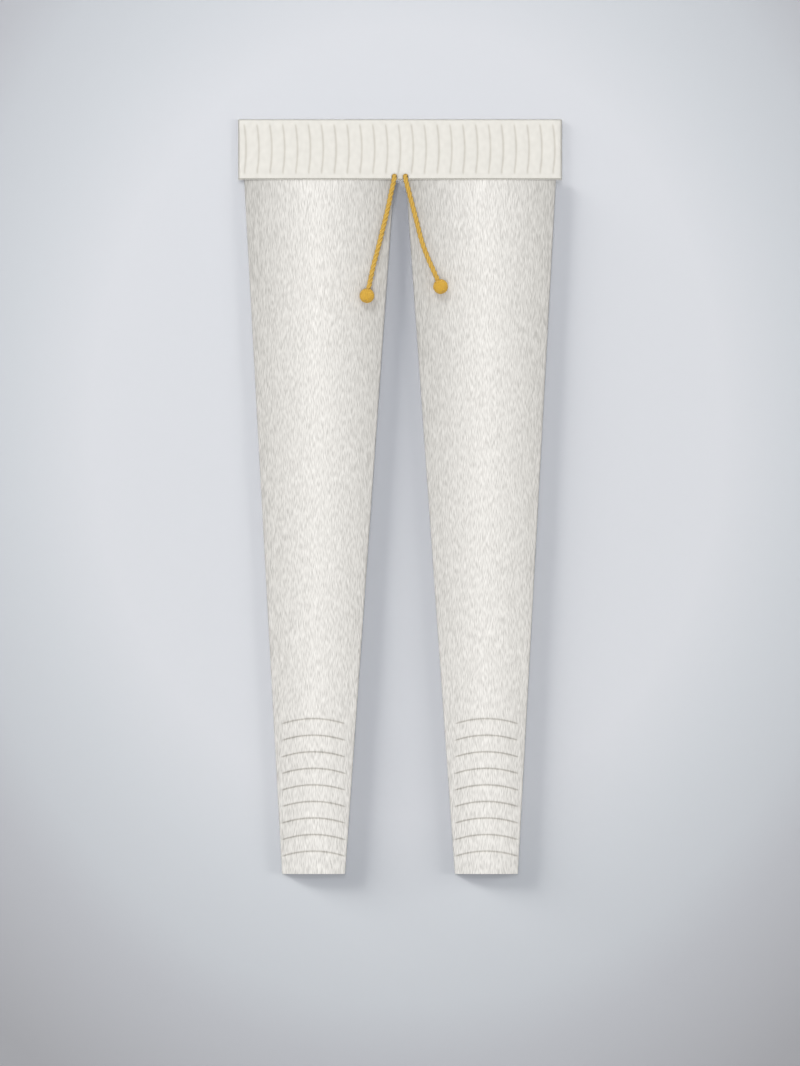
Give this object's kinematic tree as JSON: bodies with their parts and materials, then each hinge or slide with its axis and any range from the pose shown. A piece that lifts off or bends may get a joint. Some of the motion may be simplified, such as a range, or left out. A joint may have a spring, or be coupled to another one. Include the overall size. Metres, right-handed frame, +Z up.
{
  "type": "churidar pants laid flat",
  "caption": "Slim churidar trousers laid flat: a gathered waistband with a drawstring ending in thread balls, long tapered legs, and stacked bangle folds at the ankles.",
  "frame": {"origin": "on the surface that the pants lie on, under the middle of the whole garment without its drawstring", "axes": "+Z up from the surface, +Y from the hems to the waist, +X to the wearer's left"},
  "size_m": [0.434, 1.012, 0.0266],
  "materials": {
    "leg_cloth": "slub cotton-silk, cream, soft matt",
    "band_cloth": "plain cotton-silk, cream, soft matt",
    "cord": "twisted cotton cord, mustard gold",
    "ball_thread": "wound rayon thread, mustard gold"
  },
  "bodies": {
    "root": {"waistband_front": "band_cloth", "waistband_back": "band_cloth", "left_leg_front": "leg_cloth", "left_leg_back": "leg_cloth", "right_leg_front": "leg_cloth", "right_leg_back": "leg_cloth", "left_drawstring": "cord", "right_drawstring": "cord", "left_drawstring_ball": "ball_thread", "right_drawstring_ball": "ball_thread"}
  },
  "joints": []
}
